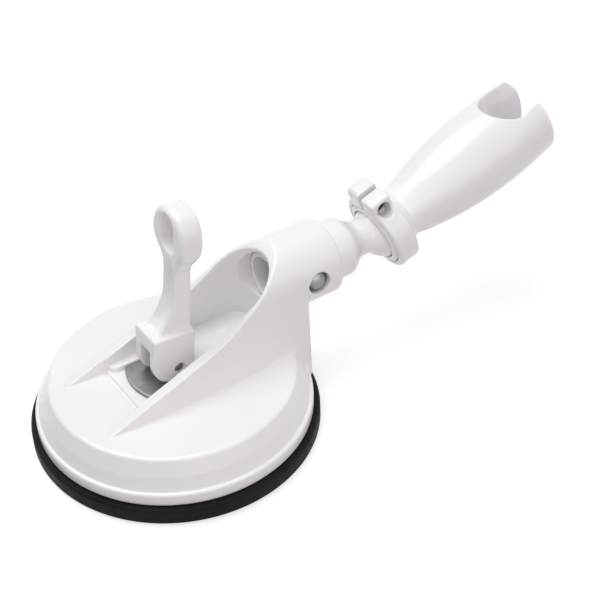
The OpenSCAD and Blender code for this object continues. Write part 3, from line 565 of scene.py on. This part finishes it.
def new_material(name):
    """Material with its node tree and main shader."""
    mat = bpy.data.materials.new(name)
    mat.use_nodes = True
    return mat, mat.node_tree, mat.node_tree.nodes["Principled BSDF"]


def noise(tree, place, scale, detail=3.0, rough=0.5, stretch=None):
    """Noise in object space, at scale per metre, drawn out along an axis if stretch is given."""
    tex = tree.nodes.new("ShaderNodeTexNoise")
    tex.inputs["Scale"].default_value = scale
    tex.inputs["Detail"].default_value = detail
    tex.inputs["Roughness"].default_value = rough
    where = place.outputs["Object"]
    if stretch:
        mapping = tree.nodes.new("ShaderNodeMapping")
        mapping.inputs["Scale"].default_value = stretch
        tree.links.new(where, mapping.inputs["Vector"])
        where = mapping.outputs["Vector"]
    tree.links.new(where, tex.inputs["Vector"])
    return tex.outputs["Fac"]


def ramp(tree, source, low, high, dark, light):
    """Colour that goes from dark to light as a value goes from low to high."""
    node = tree.nodes.new("ShaderNodeValToRGB")
    for stop, position, colour in zip(node.color_ramp.elements, (low, high), (dark, light)):
        stop.position = position
        stop.color = (*colour, 1)
    tree.links.new(source, node.inputs["Fac"])
    return node.outputs["Color"]


def spread(tree, source, low, high, to_low, to_high, smooth=False):
    """Value mapped from one range to another."""
    node = tree.nodes.new("ShaderNodeMapRange")
    if smooth:
        node.interpolation_type = "SMOOTHSTEP"
    for key, value in (("From Min", low), ("From Max", high), ("To Min", to_low), ("To Max", to_high)):
        node.inputs[key].default_value = value
    tree.links.new(source, node.inputs["Value"])
    return node.outputs["Result"]


def surface(name, dark, light, tone_scale, rough, rough_scale, bump_scale, bump,
            metal=0.0, stretch=None, ior=1.5):
    """Procedural material: slow colour drift, patchy gloss and a fine surface texture."""
    mat, tree, shader = new_material(name)
    place = tree.nodes.new("ShaderNodeTexCoord")
    low, high = 0.3, 0.7
    tone = ramp(tree, noise(tree, place, tone_scale), low, high, dark, light)
    tree.links.new(tone, shader.inputs["Base Color"])
    gloss = spread(tree, noise(tree, place, rough_scale, 4, 0.55, stretch), low, high, *rough)
    tree.links.new(gloss, shader.inputs["Roughness"])
    skin = tree.nodes.new("ShaderNodeBump")
    skin.inputs["Strength"].default_value = bump[0]
    skin.inputs["Distance"].default_value = bump[1]
    tree.links.new(noise(tree, place, bump_scale, 2, 0.5, stretch), skin.inputs["Height"])
    tree.links.new(skin.outputs["Normal"], shader.inputs["Normal"])
    shader.inputs["Metallic"].default_value = metal
    shader.inputs["IOR"].default_value = ior
    return mat


def combined(tree, operation, a, b):
    """Value that an operation makes of two others."""
    node = tree.nodes.new("ShaderNodeMath")
    node.operation = operation
    tree.links.new(a, node.inputs[0])
    tree.links.new(b, node.inputs[1])
    return node.outputs["Value"]


def direct(tree):
    """One for rays of the camera, of a reflection or through clear material, and otherwise zero."""
    path = tree.nodes.new("ShaderNodeLightPath")
    value = combined(tree, "MAXIMUM", path.outputs["Is Camera Ray"], path.outputs["Is Glossy Ray"])
    return combined(tree, "MAXIMUM", value, path.outputs["Is Transmission Ray"])


def pale_floor():
    """Floor that takes the object's shadow and shows white, more so far away."""
    half, z = 3, -0.0002
    mesh = bpy.data.meshes.new("floor")
    corners = [(-half, -half, z), (half, -half, z), (half, half, z), (-half, half, z)]
    mesh.from_pydata(corners, [], [(0, 1, 2, 3)])
    obj = bpy.data.objects.new("floor", mesh)
    bpy.context.scene.collection.objects.link(obj)
    mat, tree, shader = new_material("pale_floor")
    shader.inputs["Base Color"].default_value = (0.55, 0.54, 0.55, 1)
    shader.inputs["Roughness"].default_value = 0.9
    shader.inputs["Specular IOR Level"].default_value = 0.1
    shader.inputs["Emission Color"].default_value = (1, 1, 1, 1)
    place = tree.nodes.new("ShaderNodeTexCoord")
    far = tree.nodes.new("ShaderNodeVectorMath")
    far.operation = "LENGTH"
    tree.links.new(place.outputs["Object"], far.inputs[0])
    glow = spread(tree, far.outputs["Value"], 0.35, 1.2, 0.64, 1.0, smooth=True)
    tree.links.new(combined(tree, "MULTIPLY", direct(tree), glow), shader.inputs["Emission Strength"])
    mesh.materials.append(mat)
    return obj


def softbox(name, at, size, power, colour):
    """Area lamp that points at the object."""
    aim = Vector((0.06, 0, 0.03))
    light = bpy.data.lights.new(name, "AREA")
    light.shape = "RECTANGLE"
    light.size, light.size_y = size
    light.energy = power
    light.color = colour
    obj = bpy.data.objects.new(name, light)
    obj.location = at
    obj.rotation_euler = (aim - Vector(at)).to_track_quat("-Z", "Y").to_euler()
    bpy.context.scene.collection.objects.link(obj)


def studio_world():
    """Dim room light on the object, and white for what is seen directly."""
    world = bpy.data.worlds.new("studio")
    world.use_nodes = True
    tree = world.node_tree
    tree.nodes.clear()
    mix = tree.nodes.new("ShaderNodeMixShader")
    tree.links.new(direct(tree), mix.inputs["Fac"])
    for i, (colour, strength) in enumerate((((1, 0.94, 1, 1), 0.1), ((1, 1, 1, 1), 1.0))):
        shade = tree.nodes.new("ShaderNodeBackground")
        shade.inputs["Color"].default_value = colour
        shade.inputs["Strength"].default_value = strength
        tree.links.new(shade.outputs["Background"], mix.inputs[1 + i])
    out = tree.nodes.new("ShaderNodeOutputWorld")
    tree.links.new(mix.outputs["Shader"], out.inputs["Surface"])
    return world


def main_camera():
    """Camera with the view of the photograph."""
    lens = bpy.data.cameras.new("camera")
    lens.sensor_width = 36
    lens.lens = 90
    obj = bpy.data.objects.new("camera", lens)
    right, up = (0.82494, -0.56443, -0.02995), (0.37794, 0.51143, 0.77175)
    ahead, at = (0.42028, 0.64796, -0.63522), (-0.20309, -0.410903, 0.435553)
    obj.matrix_world = Matrix([(right[i], up[i], -ahead[i], at[i]) for i in range(3)] + [(0, 0, 0, 1)])
    bpy.context.scene.collection.objects.link(obj)
    return obj


white = surface("white_plastic", (0.915, 0.89, 0.91), (0.925, 0.90, 0.92), 25,
                (0.20, 0.24), 120, 900, (0.02, 0.0001))
rubber = surface("black_rubber", (0.004, 0.004, 0.0045), (0.009, 0.009, 0.010), 60,
                 (0.50, 0.68), 300, 2500, (0.25, 0.0002), ior=1.2)
steel = surface("plain_steel", (0.21, 0.21, 0.215), (0.29, 0.29, 0.295), 200,
                (0.32, 0.48), 600, 1500, (0.10, 0.0001), metal=1.0, stretch=(1, 12, 1))
# Steel of the clamp screw, washer and nut: partly the screw's own dark steel, partly painted shade standing
# in for the deep screw pocket
dark = surface("dark_steel_and_pocket_shade", (0.05, 0.05, 0.052), (0.09, 0.09, 0.092), 150,
               (0.30, 0.42), 400, 1800, (0.04, 0.00008), metal=1.0)
bright = surface("bright_steel", (0.22, 0.22, 0.222), (0.29, 0.29, 0.292), 150,
                 (0.30, 0.38), 400, 1800, (0.04, 0.00008), metal=1.0)
nylon = surface("liner_nylon", (0.60, 0.60, 0.56), (0.68, 0.68, 0.64), 90,
                (0.45, 0.6), 300, 1500, (0.1, 0.0001))

# Pieces of the scene, and the CAD nodes that stay in view
for build in (housing, lever, neck, clamp_ring, holder):
    build().data.materials.append(white)
pad().data.materials.append(rubber)
snap_button().data.materials.append(bright)
wear_plate().data.materials.append(steel)
lever_pin().data.materials.append(bright)
# Clamp hardware in the darker steel, whose darkness is partly painted shade of the screw's pocket
for piece in clamp_hardware():
    piece.data.materials.append(dark)
WIRE, LATCH_WIRE = 1.6, 0.6
release = coil("release_coil", 10.2, WIRE, SPRING_HIGH - SPRING_LOW - WIRE, 4.5,
               Matrix.Translation((0, 0, SPRING_LOW + WIRE / 2)), "base", "release_spring")
latch = coil("button_coil", 3.4, LATCH_WIRE, 14.2, 6,
             Matrix.Translation((BUTTON_X, -5.89, AXIS_Z)) @ ALONG_Y, "base", "button_spring")
release.data.materials.append(steel)
latch.data.materials.append(steel)
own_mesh(release)
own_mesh(latch)
for name, mat in (("pad_plate", steel), ("draw_stud", steel), ("ball_liner", nylon)):
    nodes[name].data.materials.clear()
    nodes[name].data.materials.append(mat)

# Floor, lights and camera
floor = pale_floor()
WARM = (1, 0.93, 1)
softbox("top", (-0.1, 0.25, 1.1), (0.9, 0.9), 9.9, (0.921, 1, 0.93))
softbox("front", (0.05, -1.1, 0.45), (1.2, 0.8), 4.0, WARM)
softbox("right", (1.2, 0, 0.45), (1.2, 0.8), 3.2, WARM)
softbox("back", (0.05, 1.1, 0.45), (1.2, 0.8), 1.0, WARM)
softbox("over", (-0.55, -0.75, 0.9), (0.9, 0.9), 2.9, WARM)
bpy.context.scene.world = studio_world()
bpy.context.scene.camera = main_camera()
bpy.context.scene.view_settings.view_transform = "Standard"
